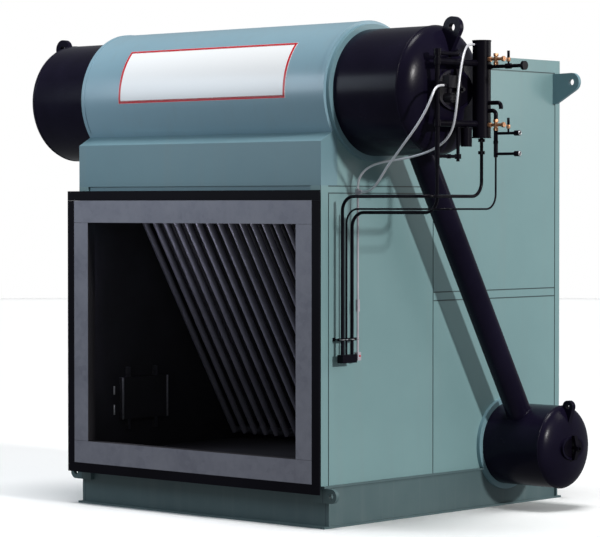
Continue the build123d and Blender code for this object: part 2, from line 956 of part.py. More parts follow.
column_gland = (column.X, column.Y - column_radius - gland_length, column_high - column_gland_drop)
with BuildPart() as water_column:
    post(column, column_low, column_high, column_radius)
    for cap_z in (column_low, column_high - column_cap):
        post(column, cap_z, cap_z + column_cap, column_radius + column_lip)
    rod(column_gland, (column.X, column.Y, column_gland[2]), gland_radius)

with BuildPart() as standpipe:
    post(stand, stand_union_z, stand_high, stand_radius)
    post(stand, stand_high - fitting_length, stand_high, stand_fitting)
    for fit_z in (bridle_high, bridle_low):
        post(stand, fit_z - fitting_length / 2, fit_z + fitting_length / 2, stand_fitting)

nozzle_depth = steam_y - nozzle_y
with BuildPart() as bridle_pipes:
    for pipe_z in (bridle_high, bridle_low):
        rod(on_bridle(stand.Y, pipe_z), on_bridle(column.Y, pipe_z), bridle_radius)
        rod((steam_seam, nozzle_depth, pipe_z), on_bridle(nozzle_depth, pipe_z), nozzle_radius)
    vent_z = steam_height + vent_rise
    vent_corner = on_bridle(steam_y - vent_y, vent_z)
    vent_foot = (steam_seam, vent_corner[1], vent_z)
    bent_pipe((on_bridle(stand.Y, vent_z), vent_corner, vent_foot), vent_radius, vent_bend)
    add(steam_envelope.part, mode=Mode.SUBTRACT)
    clear_column()
    clear_standpipe(stand_fitting)

# Low water cut-off can under the lower bridle, with its drain and cross
cutoff_high = steam_height - cutoff_high_drop
cutoff_cross_z = steam_height - cutoff_cross_drop
with BuildPart() as low_water_cutoff:
    can = Vector(*on_bridle(steam_y + cutoff_y, 0))
    post(can, steam_height - cutoff_low_drop, cutoff_high, cutoff_radius)
    post(can, cutoff_high, bridle_low, vent_radius)
    drop = Vector(*on_bridle(steam_y - cutoff_drain_y, 0))
    post(drop, steam_height - cutoff_drain_drop, bridle_low, drain_radius)
    rod(on_bridle(stand.Y, cutoff_cross_z), (drop.X, drop.Y, cutoff_cross_z), drain_radius)
    post(drop, cutoff_cross_z - stand_radius, cutoff_cross_z + stand_radius, cutoff_cross_radius)
    arm_middle = (stand.Y + drop.Y) / 2
    nut(
        on_bridle(arm_middle, cutoff_cross_z),
        on_bridle(arm_middle + fitting_length / 2, cutoff_cross_z),
        cutoff_union_radius,
    )
    rod(
        on_bridle(stand.Y, bridle_low),
        on_bridle(column.Y, bridle_low),
        bridle_radius + seat,
        Mode.SUBTRACT,
    )
    clear_standpipe(stand_radius)

# Level control head on a branch of the standpipe, with a gland for its flexible conduit
control = Vector(stand.X + level_box_reach, steam_y - level_box_y, 0)
level_box_z = steam_height + level_box_rise
level_gland = (
    control.X,
    control.Y - level_box_size / 2 - gland_length,
    level_box_z - level_gland_drop,
)
with BuildPart() as level_control:
    with BuildSketch(Plane.XY.offset(level_box_z - level_box_size / 2)):
        with Locations((control.X, control.Y)):
            RectangleRounded(level_box_depth, level_box_size, level_box_round)
    extrude(amount=level_box_size)
    rod((control.X, control.Y, level_box_z), (stand.X, stand.Y, level_box_z), vent_radius)
    cover_z = level_box_z - level_cover_drop
    post(control, cover_z, level_box_z, vent_radius)
    rod(
        (control.X - level_box_depth / 2, control.Y, cover_z),
        (control.X + level_box_depth / 2, control.Y, cover_z),
        level_cover_radius,
    )
    rod(level_gland, (control.X, control.Y, level_gland[2]), gland_radius)
    clear_standpipe(stand_radius)


def gauge_valve(z):
    """Brass gauge valve on the water column: branch, body with nuts, and bonnet."""
    low = z - valve_half
    high = z + valve_half
    branch = column.X + column_radius
    bonnet = gauge.X + valve_stem
    rod((column.X, gauge.Y, z), (bonnet, gauge.Y, z), valve_branch)
    nut((branch, gauge.Y, z), (branch + valve_nut_length, gauge.Y, z), valve_nut)
    post(gauge, low, high, valve_body)
    nut((gauge.X, gauge.Y, low), (gauge.X, gauge.Y, low + valve_nut_length), valve_nut)
    nut((gauge.X, gauge.Y, high - valve_nut_length), (gauge.X, gauge.Y, high), valve_nut)
    nut((bonnet, gauge.Y, z), (bonnet + valve_nut_length, gauge.Y, z), valve_nut)


valve_high = steam_height + valve_rise
valve_low = steam_height - valve_drop
with BuildPart() as gauge_valves:
    gauge_valve(valve_high)
    gauge_valve(valve_low)
    clear_column()

# Black piping of the gauge: outlet pipe, elbows, and the drop with its try cocks
elbow_high = steam_height - elbow_high_drop
elbow_low = steam_height - elbow_low_drop
cock_high = steam_height - cock_high_drop
cock_low = steam_height - cock_low_drop
drop_low = cock_low - fitting_length / 2
with BuildPart() as gauge_piping:
    outlet_z = valve_high - valve_half - outlet_pipe_radius - seat
    outlet_end = column.X + outlet_pipe_reach
    flange_start = (outlet_end - outlet_flange_length, column.Y, outlet_z)
    rod((column.X, column.Y, outlet_z), (outlet_end, column.Y, outlet_z), outlet_pipe_radius)
    rod(flange_start, (outlet_end, column.Y, outlet_z), outlet_flange_radius)
    rod(
        (lever.X - outlet_body_length / 2, column.Y, outlet_z),
        (lever.X + outlet_body_length / 2, column.Y, outlet_z),
        outlet_body_radius,
    )
    outlet_union = column.X + column_radius + column_lip
    nut(
        (outlet_union, column.Y, outlet_z),
        (outlet_union + valve_nut_length, column.Y, outlet_z),
        valve_nut,
    )
    post(lever, outlet_z, outlet_z + lever_height, lever_radius)
    elbow_end = column.X + elbow_reach
    bent_pipe(
        (
            (column.X, column.Y, elbow_high),
            (elbow_end, column.Y, elbow_high),
            (elbow_end, column.Y, elbow_high - elbow_drop),
        ),
        elbow_radius,
        elbow_bend,
    )
    bent_pipe(
        (
            (column.X, column.Y, elbow_low),
            (gauge.X, gauge.Y, elbow_low),
            (gauge.X, gauge.Y, valve_low + valve_half + seat),
        ),
        elbow_radius,
        elbow_bend,
    )
    post(gauge, drop_low, valve_low - valve_half - seat, elbow_radius)
    drop_union = (cock_high + cock_low) / 2
    nut(
        (gauge.X, gauge.Y, drop_union),
        (gauge.X, gauge.Y, drop_union + valve_nut_length),
        valve_nut,
    )
    cock_end = gauge.X + cock_reach
    for cock_z in (cock_high, cock_low):
        rod((gauge.X, gauge.Y, cock_z), (cock_end, gauge.Y, cock_z), cock_radius)
        rod((cock_end - cock_nose, gauge.Y, cock_z), (cock_end, gauge.Y, cock_z), cock_nose_radius)
    post(lever, cock_high, cock_high + lever_height, lever_radius)
    clear_column()

# Drain lines: down from the trim, along to the front of the wall, down to the manifold
column_drain = front + column_drain_y
gauge_drain = front + gauge_drain_y
stand_drain = front + stand_drain_y
column_drain_z = steam_height - column_drain_drop
gauge_drain_z = steam_height - gauge_drain_drop
stand_drain_z = steam_height - stand_drain_drop
drain_x = half_width + drain_standoff
clamp_face = drain_x - drain_radius
thin_drain_x = clamp_face + thin_drain_radius
with BuildPart() as drain_lines:
    bent_pipe(
        (
            (column.X, column.Y, column_low),
            (column.X, column.Y, column_drain_z),
            (column.X, column_drain, column_drain_z),
            (drain_x, column_drain, column_drain_z),
            (drain_x, column_drain, manifold_high),
        ),
        drain_radius,
        drain_bend,
    )
    bent_pipe(
        (
            (gauge.X, gauge.Y, drop_low),
            (gauge.X, gauge.Y, gauge_drain_z),
            (gauge.X, gauge_drain, gauge_drain_z),
            (thin_drain_x, gauge_drain, gauge_drain_z),
            (thin_drain_x, gauge_drain, manifold_high),
        ),
        thin_drain_radius,
        drain_bend,
    )
    bent_pipe(
        (
            (stand.X, stand.Y, stand_union_z),
            (stand.X, stand.Y, stand_drain_z),
            (drain_x, stand_drain, stand_drain_z),
            (drain_x, stand_drain, manifold_high),
        ),
        drain_radius,
        drain_bend,
    )
    first_union = column_low - union_drop
    for union_z in (first_union, first_union - union_spacing):
        nut((column.X, column.Y, union_z), (column.X, column.Y, union_z + fitting_length / 2), stand_fitting)

with BuildPart() as drain_manifold:
    with BuildSketch(Plane.XY.offset(manifold_low)):
        span(
            drain_x - manifold_lap,
            drain_x + manifold_lap,
            column_drain - manifold_margin,
            stand_drain + manifold_margin,
        )
    extrude(amount=manifold_high - manifold_low)

conduit = Vector(clamp_face + conduit_radius, front + conduit_y, 0)
clamp_start = column_drain - clamp_margin
clamp_end = conduit.Y + clamp_margin
bar_face = clamp_face - seat
with BuildPart() as pipe_clamp:
    with BuildSketch(Plane.XY.offset(clamp_z - clamp_height / 2)):
        span(bar_face - clamp_thickness, bar_face, clamp_start, clamp_end)
    extrude(amount=clamp_height)
    for stud_y in (clamp_start + clamp_pad / 2, clamp_end - clamp_pad / 2):
        rod((half_width, stud_y, clamp_z), (bar_face - clamp_thickness, stud_y, clamp_z), clamp_stud_radius)
        with BuildSketch(across(half_width)) as pad:
            with Locations((stud_y, clamp_z)):
                Rectangle(clamp_pad, clamp_pad)
        extrude(pad.sketch, amount=clamp_stud_radius)

# Rigid conduit up the wall, with its foot, its box and the head that the flexible conduits leave
conduit_high = steam_height - conduit_drop
head_top = conduit_high + conduit_head_height
head_gland = (
    conduit.X + conduit_head_size / 2 + gland_length,
    conduit.Y,
    conduit_high + conduit_head_height / 2,
)
with BuildPart() as cable_conduit:
    post(conduit, conduit_low, conduit_high, conduit_radius)
    with BuildSketch(Plane.XY.offset(conduit_low)):
        with Locations((conduit.X, conduit.Y)):
            RectangleRounded(conduit_foot_width, conduit_foot_width, conduit_round)
    extrude(amount=conduit_foot_height)
    with BuildSketch(Plane.XY.offset(conduit_box_low)):
        with Locations((conduit.X, conduit.Y)):
            RectangleRounded(conduit_box_width, conduit_box_width, conduit_round)
    extrude(amount=conduit_box_height)
    with BuildSketch(Plane.XY.offset(conduit_high)):
        with Locations((conduit.X, conduit.Y)):
            RectangleRounded(conduit_head_size, conduit_head_size, conduit_round)
    extrude(amount=conduit_head_height)
    rod((conduit.X, conduit.Y, head_gland[2]), head_gland, gland_radius)


def flex_bends(bends, start, end):
    """Bends of a flexible conduit on its way between two points."""
    run = Vector(*end) - Vector(*start)
    points = []
    for share, step, rise_share in bends:
        points.append((start[0] + share * run.X, start[1] + step, start[2] + rise_share * run.Z))
    return points


def flexible_conduit(route):
    """Flexible conduit along its route, with the widest bends that its runs allow."""
    points = [Vector(*point) for point in route]
    runs = [end - start for start, end in zip(points, points[1:])]
    radii = []
    for before, after in zip(runs, runs[1:]):
        half_turn = math.radians(before.get_angle(after) / 2)
        radii.append(flex_bend_share * min(before.length, after.length) / math.tan(half_turn))
    with BuildPart() as flex:
        with BuildLine():
            path = FilletPolyline(*points, radius=radii)
        with BuildSketch(Plane(origin=path @ 0, z_dir=path % 0)):
            Circle(flex_diameter / 2)
        sweep(path=path)
    expected = math.pi * flex_diameter**2 / 4 * path.length
    print("flexible conduit", round(path.length), "mm, volume share", round(flex.part.volume / expected, 4))
    print("bend radii", [round(radius) for radius in radii])
    return flex


level_flex = flexible_conduit(
    (
        head_gland,
        (head_gland[0] + level_flex_lead, head_gland[1], head_gland[2]),
        *flex_bends(level_flex_bends, (conduit.X, conduit.Y, head_gland[2]), level_gland),
        (level_gland[0], level_gland[1] - level_flex_tail, level_gland[2]),
        level_gland,
    )
)
column_flex = flexible_conduit(
    (
        (conduit.X, conduit.Y, head_top),
        (conduit.X, conduit.Y, head_top + column_flex_lead),
        *flex_bends(column_flex_bends, (conduit.X, conduit.Y, head_top), column_gland),
        (column_gland[0], column_gland[1] - column_flex_tail, column_gland[2]),
        column_gland,
    )
)


NODES = {
    "base_end_channels": base_end_channels,
    "base_side_beams": base_side_beams,
    "base_cross_beam": base_cross_beam,
    "casing_floor": casing_floor,
    "right_wall": right_wall,
    "left_wall": left_wall,
    "access_panel": access_panel,
    "panel_dogs": panel_dogs,
    "front_header": front_header,
    "inlet_lintel": inlet_lintel,
    "roof": roof,
    "rear_wall": rear_wall,
    "inlet_flange": inlet_flange,
    "inlet_liner": inlet_liner,
    "outlet_flange": outlet_flange,
    "outlet_liner": outlet_liner,
    "steam_drum_shell": steam_drum_shell,
    "steam_drum_heads": steam_drum_heads,
    "mud_drum_shell": mud_drum_shell,
    "mud_drum_heads": mud_drum_heads,
    "drum_jacket": drum_jacket,
    "steam_drum_collars": steam_drum_collars,
    "mud_drum_collars": mud_drum_collars,
    "downcomers": downcomers,
    "front_tube_row": front_tube_row,
    "rear_tube_row": rear_tube_row,
    "inner_tube_bank": inner_tube_bank,
    "steam_drum_lugs": steam_drum_lugs,
    "mud_drum_lugs": mud_drum_lugs,
    "base_lugs": base_lugs,
    "rear_lifting_lugs": rear_lifting_lugs,
    "steam_manway_rims": steam_manway_rims,
    "steam_manway_covers": steam_manway_covers,
    "mud_handhole_rims": mud_handhole_rims,
    "mud_handhole_covers": mud_handhole_covers,
    "water_column": water_column,
    "standpipe": standpipe,
    "bridle_pipes": bridle_pipes,
    "low_water_cutoff": low_water_cutoff,
    "level_control": level_control,
    "gauge_valves": gauge_valves,
    "gauge_piping": gauge_piping,
    "drain_lines": drain_lines,
    "drain_manifold": drain_manifold,
    "pipe_clamp": pipe_clamp,
    "cable_conduit": cable_conduit,
    "level_flex": level_flex,
    "column_flex": column_flex,
}
for node, piece in NODES.items():
    write(piece, node)
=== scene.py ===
# %% [markdown]
# This lesson dresses a heat recovery steam generator: a boiler that makes steam from hot exhaust gas. Its
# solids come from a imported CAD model. Here it gets a camera, flexible conduits, paint, fittings and
# light. The CAD model fixes every size, so new pieces are placed from the boxes of the nodes that carry
# them.

# %% Load the frame
import json
import math

import bpy
from mathutils import Matrix, Vector


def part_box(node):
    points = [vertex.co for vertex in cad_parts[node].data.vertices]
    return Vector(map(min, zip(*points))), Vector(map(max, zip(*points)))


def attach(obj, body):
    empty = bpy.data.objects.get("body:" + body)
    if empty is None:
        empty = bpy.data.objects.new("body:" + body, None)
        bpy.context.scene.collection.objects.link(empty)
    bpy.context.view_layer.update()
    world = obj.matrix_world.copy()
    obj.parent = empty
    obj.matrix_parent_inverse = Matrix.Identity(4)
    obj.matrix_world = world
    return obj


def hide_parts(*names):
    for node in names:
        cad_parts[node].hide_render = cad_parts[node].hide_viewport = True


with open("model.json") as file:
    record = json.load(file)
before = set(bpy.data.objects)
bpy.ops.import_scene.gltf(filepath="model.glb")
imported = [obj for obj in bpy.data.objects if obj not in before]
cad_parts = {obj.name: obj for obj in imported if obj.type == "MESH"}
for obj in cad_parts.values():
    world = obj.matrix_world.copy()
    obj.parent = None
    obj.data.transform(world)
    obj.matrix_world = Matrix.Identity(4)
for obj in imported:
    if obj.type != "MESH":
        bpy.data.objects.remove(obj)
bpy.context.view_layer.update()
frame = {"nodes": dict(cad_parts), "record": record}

# %% [markdown]
# The whole look depends on a few places: the axes of the two drums, and the planes of the casing.
# They are read from the nodes, so that they stay right if the CAD model changes.

# %% Measure the casing and the drums
case_low, case_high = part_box("roof")
half_width = case_high.x
floor_low, floor_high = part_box("casing_floor")
rear_face = floor_high.y
inner_half = floor_high.x
roof_under = case_low.z


def drum_axis(node):
    """Centre, radius and half length of a drum shell that lies along X."""
    low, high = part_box(node)
    return (low + high) / 2, (high.z - low.z) / 2, high.x


steam_centre, steam_radius, steam_seam = drum_axis("steam_drum_shell")
mud_centre, mud_radius, mud_seam = drum_axis("mud_drum_shell")
jacket_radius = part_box("drum_jacket")[1].z - steam_centre.z
print("steam drum", steam_centre, steam_radius, "mud drum", mud_centre, mud_radius, "jacket", jacket_radius)

# %% [markdown]
# The photograph was taken from far away with a long lens, a little above the ground, from the right of
# the inlet. A camera's direction is easiest to set from two angles: how far it stands to the side, and
# how far up it is.

# %% Place the camera
camera_place = Vector((13.652, -15.331, 2.301))
camera_side = math.radians(42.16)
camera_rise = math.radians(1.38)
lens_length = 158.08

to_camera = Vector((
    math.sin(camera_side) * math.cos(camera_rise),
    -math.cos(camera_side) * math.cos(camera_rise),
    math.sin(camera_rise),
))
camera_data = bpy.data.cameras.new("photo_camera")
camera_data.lens = lens_length
camera = bpy.data.objects.new("photo_camera", camera_data)
camera.location = camera_place
camera.rotation_euler = (-to_camera).to_track_quat("-Z", "Y").to_euler()
bpy.context.scene.collection.objects.link(camera)
bpy.context.scene.camera = camera
print("camera at", tuple(camera.location))

# %% [markdown]
# Materials are made of nodes. Written one by one they take many lines, so a small class wraps a socket:
# sums and products of sockets add Math nodes, and one method adds any other kind of node.

# %% A class for shader maths


class Shade:
    """A socket of a material's nodes, or the bare tree, that adds nodes as it is used."""

    def __init__(self, tree, socket=None):
        self.tree = tree
        self.socket = socket

    def node(self, kind, settings=None, sockets=None, output=0):
        """Add a node, set it, fill its sockets with values or links, and return one output."""
        made = self.tree.nodes.new(kind)
        for name, value in (settings or {}).items():
            if name == "stops":
                ramp = made.color_ramp
                for place, colour in value:
                    ramp.elements.new(place).color = colour
                ramp.elements.remove(ramp.elements[0])
                ramp.elements.remove(ramp.elements[-1])
            else:
                setattr(made, name, value)
        for name, value in (sockets or {}).items():
            if isinstance(value, Shade):
                self.tree.links.new(value.socket, made.inputs[name])
            else:
                made.inputs[name].default_value = value
        return Shade(self.tree, made.outputs[output] if made.outputs else None)

    def math(self, operation, first, second=0.0, clamp=False):
        """Add one Math node."""
        settings = {"operation": operation, "use_clamp": clamp}
        return self.node("ShaderNodeMath", settings, {0: first, 1: second})

    def __add__(self, other):
        return self.math("ADD", self, other)

    def __radd__(self, other):
        return self.math("ADD", other, self)

    def __sub__(self, other):
        return self.math("SUBTRACT", self, other)

    def __rsub__(self, other):
        return self.math("SUBTRACT", other, self)

    def __mul__(self, other):
        return self.math("MULTIPLY", self, other)

    def __rmul__(self, other):
        return self.math("MULTIPLY", other, self)

    def __truediv__(self, other):
        return self.math("DIVIDE", self, other)

    def __lt__(self, other):
        return self.math("LESS_THAN", self, other)

    def __gt__(self, other):
        return self.math("GREATER_THAN", self, other)

    def __abs__(self):
        return self.math("ABSOLUTE", self)

    def clamped(self):
        """The same value held between 0 and 1."""
        return self.math("ADD", self, 0.0, clamp=True)

    def blend(self, low, high):
        """A colour between two, by this value."""
        settings = {"data_type": "RGBA"}
        return self.node("ShaderNodeMix", settings, {0: self, 6: low, 7: high}, output=2)


def start_finish(name):
    """A new material with an empty tree, and its Object coordinates."""
    material = bpy.data.materials.new(name)
    material.use_nodes = True
    material.node_tree.nodes.clear()
    tree = Shade(material.node_tree)
    place = tree.node("ShaderNodeTexCoord", output="Object")
    return material, tree, place


def noise(place, scale, detail=2.0, roughness=0.5, stretch=None):
    """Noise between 0 and 1 over a place, with a stretch along the axes if one is given."""
    if stretch:
        place = place.node("ShaderNodeMapping", sockets={"Vector": place, "Scale": stretch})
    sockets = {"Vector": place, "Scale": scale, "Detail": detail, "Roughness": roughness}
    return place.node("ShaderNodeTexNoise", sockets=sockets)


def contrast(value, low, high):
    """The value stretched so that low becomes 0 and high becomes 1."""
    return ((value - low) / (high - low)).clamped()


def end_finish(tree, **sockets):
    """Close a material with a Principled shader; a name's underscores stand for spaces."""
    named = {name.replace("_", " "): value for name, value in sockets.items()}
    shader = tree.node("ShaderNodeBsdfPrincipled", sockets=named)
    tree.node("ShaderNodeOutputMaterial", sockets={"Surface": shader})


def bump(height, strength, distance):
    """A normal from a height."""
    values = {"Height": height, "Strength": strength, "Distance": distance}
    return height.node("ShaderNodeBump", sockets=values)


print("shader helpers ready")

# %% [markdown]
# The casing is sheet steel in blue-green enamel. Sprayed paint is never even: it has cloudy patches, a
# fine orange peel, faint streaks where rain ran down, and dust near the ground. Inside the casing the
# same sheets get painted shade, so the finish looks at the place: inside the gas space it turns near
# black, with a faint mottle.

# %% Casing enamel
# Near black for the inside of the casing and of the gas openings: painted shade.
painted_shade_black = (0.010, 0.009, 0.012, 1.0)
dust = (0.22, 0.26, 0.26, 1.0)


def inside_casing(place):
    """1 within the gas space between walls, floor, roof and the two end frames, else 0."""
    parts = place.node("ShaderNodeSeparateXYZ", sockets={"Vector": place})
    x = Shade(parts.tree, parts.socket.node.outputs["X"])
    y = Shade(parts.tree, parts.socket.node.outputs["Y"])
    z = Shade(parts.tree, parts.socket.node.outputs["Z"])
    skin = 0.0135
    across = abs(x) < inner_half + skin
    along = abs(y) < rear_face - skin
    up = (z > floor_high.z - skin) * (z < roof_under + skin)
    return across * along * up, z


def seam_groove(place):
    """1 in the shallow panel seams of the side walls, else 0: painted shade darkens them."""
    parts = place.node("ShaderNodeSeparateXYZ", sockets={"Vector": place})
    seam_depth = 0.006
    skin = 0.0004
    return (abs(parts) > half_width - seam_depth - skin) * (abs(parts) < half_width - skin)


def casing_enamel(name, deep, pale, rough, coat, painted_shade=True):
    """Sprayed enamel with clouds, peel, streaks and dust at the foot, and painted shade inside and in the
    seams if asked.
    """
    material, tree, place = start_finish(name)
    inside, height = inside_casing(place)
    inside = inside * (1.0 if painted_shade else 0.0)
    groove = seam_groove(place) * (1.0 if painted_shade else 0.0)
    clouds = noise(place, 0.9, 4.0, 0.6)
    streaks = contrast(noise(place, 2.2, 4.0, 0.6, stretch=(5.0, 5.0, 0.22)), 0.52, 0.78)
    peel = noise(place, 340.0, 1.0)
    foot = (1.0 - height / 0.42).clamped() * contrast(noise(place, 7.0, 5.0, 0.65), 0.35, 0.75)
    paint = contrast(clouds, 0.3, 0.7).blend(deep, pale)
    paint = (streaks * 0.16).blend(paint, dust)
    paint = (foot * 0.10).blend(paint, dust)
    # The seams are darkened: painted shade in the shallow grooves.
    paint = (groove * 0.8).blend(paint, (0.030, 0.050, 0.055, 1.0))
    # Inside the gas space the paint turns near black with a faint mottle: painted shade.
    shade_mottle = contrast(noise(place, 3.0, 5.0, 0.6), 0.3, 0.8)
    black = shade_mottle.blend(painted_shade_black, (0.020, 0.019, 0.025, 1.0))
    end_finish(
        tree,
        Base_Color=inside.blend(paint, black),
        Roughness=rough + 0.10 * clouds + 0.12 * foot + 0.30 * inside,
        Coat_Weight=coat * (1.0 - inside),
        Coat_Roughness=0.18,
        Normal=bump(peel + 6.0 * clouds, 0.10, 0.0006),
    )
    return material


casing_paint = casing_enamel(
    "casing_enamel", (0.178, 0.302, 0.317, 1.0), (0.202, 0.336, 0.349, 1.0), 0.36, 0.15
)
# The base wears the casing's enamel made much darker: painted shade of the base beneath the overhanging
# flange.
base_paint = casing_enamel("base_enamel_painted_shade", (0.066, 0.112, 0.122, 1.0), (0.082, 0.136, 0.146, 1.0), 0.44, 0.08)
outer_paint = casing_enamel(
    "outer_enamel", (0.152, 0.270, 0.315, 1.0), (0.172, 0.298, 0.343, 1.0), 0.36, 0.10, painted_shade=False
)
jacket_paint = casing_enamel(
    "jacket_enamel", (0.222, 0.362, 0.438, 1.0), (0.248, 0.394, 0.470, 1.0), 0.30, 0.20, painted_shade=False
)
print("casing enamels:", casing_paint.name, base_paint.name, outer_paint.name, jacket_paint.name)

# %% [markdown]
# Drums, duct frames and pipes are black: a satin enamel with a violet cast. A heavy plate shows shallow
# rolling marks along the drum, and the paint has small pale specks. The duct frames are plainer and a
# bit duller.

# %% Black enamel


def black_enamel(name, deep, pale, rough, marks):
    """Satin black over rolled steel, with cloudy sheen and a fine peel."""
    material, tree, place = start_finish(name)
    clouds = noise(place, 2.4, 5.0, 0.6)
    rolling = noise(place, 3.0, 3.0, 0.6, stretch=(0.35, 5.0, 5.0))
    peel = noise(place, 420.0, 1.0)
    specks = contrast(noise(place, 90.0, 3.0, 0.7), 0.66, 0.80)
    paint = contrast(clouds, 0.3, 0.7).blend(deep, pale)
    paint = (specks * 0.22).blend(paint, (0.05, 0.047, 0.058, 1.0))
    end_finish(
        tree,
        Base_Color=paint,
        Roughness=rough + 0.16 * (clouds - 0.5) + 0.10 * specks,
        Specular_IOR_Level=0.08,
        Coat_Weight=0.03 * clouds,
        Coat_Roughness=0.20,
        Normal=bump(peel + marks * rolling, 0.12, 0.0007),
    )
    return material


drum_black = black_enamel(
    "drum_black", (0.0050, 0.0038, 0.0115, 1.0), (0.0082, 0.0064, 0.0180, 1.0), 0.25, 9.0
)
trim_black = black_enamel(
    "trim_black", (0.0026, 0.0020, 0.0046, 1.0), (0.0052, 0.0042, 0.0090, 1.0), 0.30, 2.0
)
cover_black = black_enamel(
    "cover_black", (0.0026, 0.0020, 0.0048, 1.0), (0.0052, 0.0042, 0.0092, 1.0), 0.36, 4.0
)
flange_black = black_enamel(
    "flange_black", (0.0018, 0.0013, 0.0036, 1.0), (0.0034, 0.0026, 0.0066, 1.0), 0.50, 3.0
)
control_grey = black_enamel(
    "control_grey", (0.010, 0.0092, 0.013, 1.0), (0.019, 0.0175, 0.023, 1.0), 0.40, 2.0
)
print("black enamels:", drum_black.name, trim_black.name, cover_black.name, flange_black.name)

# %% [markdown]
# The insulation frame is galvanised sheet: zinc freezes into flat crystals, called spangle, each with its
# own brightness. Voronoi cells give the crystals, and a slow noise the dull oxide that forms between
# them.

# %% Galvanised sheet
inlet_half = 1.0735
inlet_bottom = 0.4915
inlet_top = 2.1665
outlet_half = 0.912
outlet_bottom = 1.4905
outlet_top = 3.1655


def duct_opening(place):
    """1 on the inner sides of the two gas openings, where the frame gets painted shade, else 0."""
    parts = place.node("ShaderNodeSeparateXYZ", sockets={"Vector": place})
    y = Shade(parts.tree, parts.socket.node.outputs["Y"])
    z = Shade(parts.tree, parts.socket.node.outputs["Z"])
    skin = 0.0004
    inlet = (abs(parts) < inlet_half + skin) * (z > inlet_bottom - skin) * (z < inlet_top + skin)
    outlet = (abs(parts) < outlet_half + skin) * (z > outlet_bottom - skin) * (z < outlet_top + skin)
    return inlet * (y < 0.0) + outlet * (y > 0.0)


def galvanised_sheet(name):
    """Zinc spangle in soft greys with dull oxide patches."""
    material, tree, place = start_finish(name)
    spangle = place.node(
        "ShaderNodeTexVoronoi",
        {"feature": "F1"},
        {"Vector": place, "Scale": 26.0, "Randomness": 1.0},
        output="Color",
    )
    grain = spangle.node("ShaderNodeSeparateColor", sockets={"Color": spangle})
    oxide = noise(place, 3.5, 6.0, 0.65)
    scuffs = contrast(noise(place, 12.0, 6.0, 0.7, stretch=(1.0, 1.0, 0.25)), 0.58, 0.72)
    # The inner sides of the openings turn near black: painted shade.
    painted_shade = duct_opening(place)
    zinc = grain.blend((0.180, 0.180, 0.222, 1.0), (0.218, 0.218, 0.262, 1.0))
    zinc = contrast(oxide, 0.35, 0.7).blend(zinc, (0.250, 0.249, 0.292, 1.0))
    zinc = (scuffs * 0.25).blend(zinc, (0.138, 0.136, 0.168, 1.0))
    end_finish(
        tree,
        Base_Color=painted_shade.blend(zinc, painted_shade_black),
        Metallic=(0.35 - 0.15 * oxide) * (1.0 - painted_shade),
        Roughness=0.38 + 0.16 * oxide + 0.06 * grain,
        Normal=bump(noise(place, 160.0, 3.0), 0.10, 0.0006),
    )
    return material


liner_metal = galvanised_sheet("galvanised_sheet")
print("galvanised finish:", liner_metal.name)

# %% [markdown]
# Boiler tubes are drawn steel with dark mill scale, smooth enough to catch a long line of light from the
# inlet. The bars of the access panel are plain steel, and the valve bodies are cast brass that has
# darkened in places.

# %% Tube steel, bar steel and brass


def bare_metal(name, dark, bright, metallic, rough, scale):
    """Bare metal with stains at a given scale and a fine grain."""
    material, tree, place = start_finish(name)
    stains = noise(place, scale, 5.0, 0.65)
    grain = noise(place, 300.0, 2.0)
    end_finish(
        tree,
        Base_Color=contrast(stains, 0.3, 0.7).blend(dark, bright),
        Metallic=metallic,
        Roughness=rough + 0.18 * (stains - 0.5) + 0.06 * grain,
        Normal=bump(grain + 3.0 * stains, 0.10, 0.0005),
    )
    return material


tube_steel = bare_metal(
    "tube_steel", (0.165, 0.162, 0.205, 1.0), (0.225, 0.221, 0.272, 1.0), 0.20, 0.34, 6.0
)
# The inner tube rows get a near-black copy of the tube steel: painted shade of the rows behind the front
# row.
tube_soot = bare_metal("tube_soot", (0.010, 0.009, 0.012, 1.0), (0.020, 0.018, 0.024, 1.0), 0.10, 0.55, 6.0)
dog_steel = bare_metal("dog_steel", (0.085, 0.083, 0.095, 1.0), (0.15, 0.148, 0.165, 1.0), 0.8, 0.36, 20.0)
valve_brass = bare_metal("cast_brass", (0.50, 0.23, 0.11, 1.0), (0.80, 0.46, 0.27, 1.0), 0.75, 0.34, 30.0)
bolt_zinc = bare_metal("bolt_zinc", (0.42, 0.42, 0.44, 1.0), (0.70, 0.70, 0.72, 1.0), 0.8, 0.30, 60.0)
print("metals:", tube_steel.name, tube_soot.name, dog_steel.name, valve_brass.name, bolt_zinc.name)

# %% [markdown]
# Rigid conduit is pale enamel. Flexible conduit is a strip of metal wound in a helix, so it is finely
# ribbed. Its ribs are a wave of diagonal bands over the object's coordinates.

# %% Conduit finishes


def pale_conduit(name):
    """Pale enamel with handling marks."""
    material, tree, place = start_finish(name)
    marks = noise(place, 14.0, 5.0, 0.65)
    end_finish(
        tree,
        Base_Color=contrast(marks, 0.35, 0.7).blend((0.40, 0.37, 0.42, 1.0), (0.52, 0.48, 0.53, 1.0)),
        Roughness=0.36 + 0.2 * (marks - 0.5),
        Normal=bump(noise(place, 260.0, 2.0), 0.08, 0.0004),
    )
    return material


def ribbed_flex(name):
    """Silvery strip-wound conduit."""
    material, tree, place = start_finish(name)
    ribs = place.node(
        "ShaderNodeTexWave",
        {"wave_type": "BANDS", "bands_direction": "DIAGONAL"},
        {"Vector": place, "Scale": 60.0, "Distortion": 0.0},
    )
    marks = noise(place, 18.0, 4.0, 0.6)
    end_finish(
        tree,
        Base_Color=(0.35 + 0.4 * marks).blend((0.58, 0.58, 0.63, 1.0), (0.84, 0.84, 0.88, 1.0)),
        Metallic=0.35,
        Roughness=0.34 + 0.12 * marks,
        Normal=bump(ribs, 0.25, 0.0008),
    )
    return material


conduit_pale = pale_conduit("conduit_enamel")
flex_silver = ribbed_flex("flex_silver")
print("conduit finishes:", conduit_pale.name, flex_silver.name)
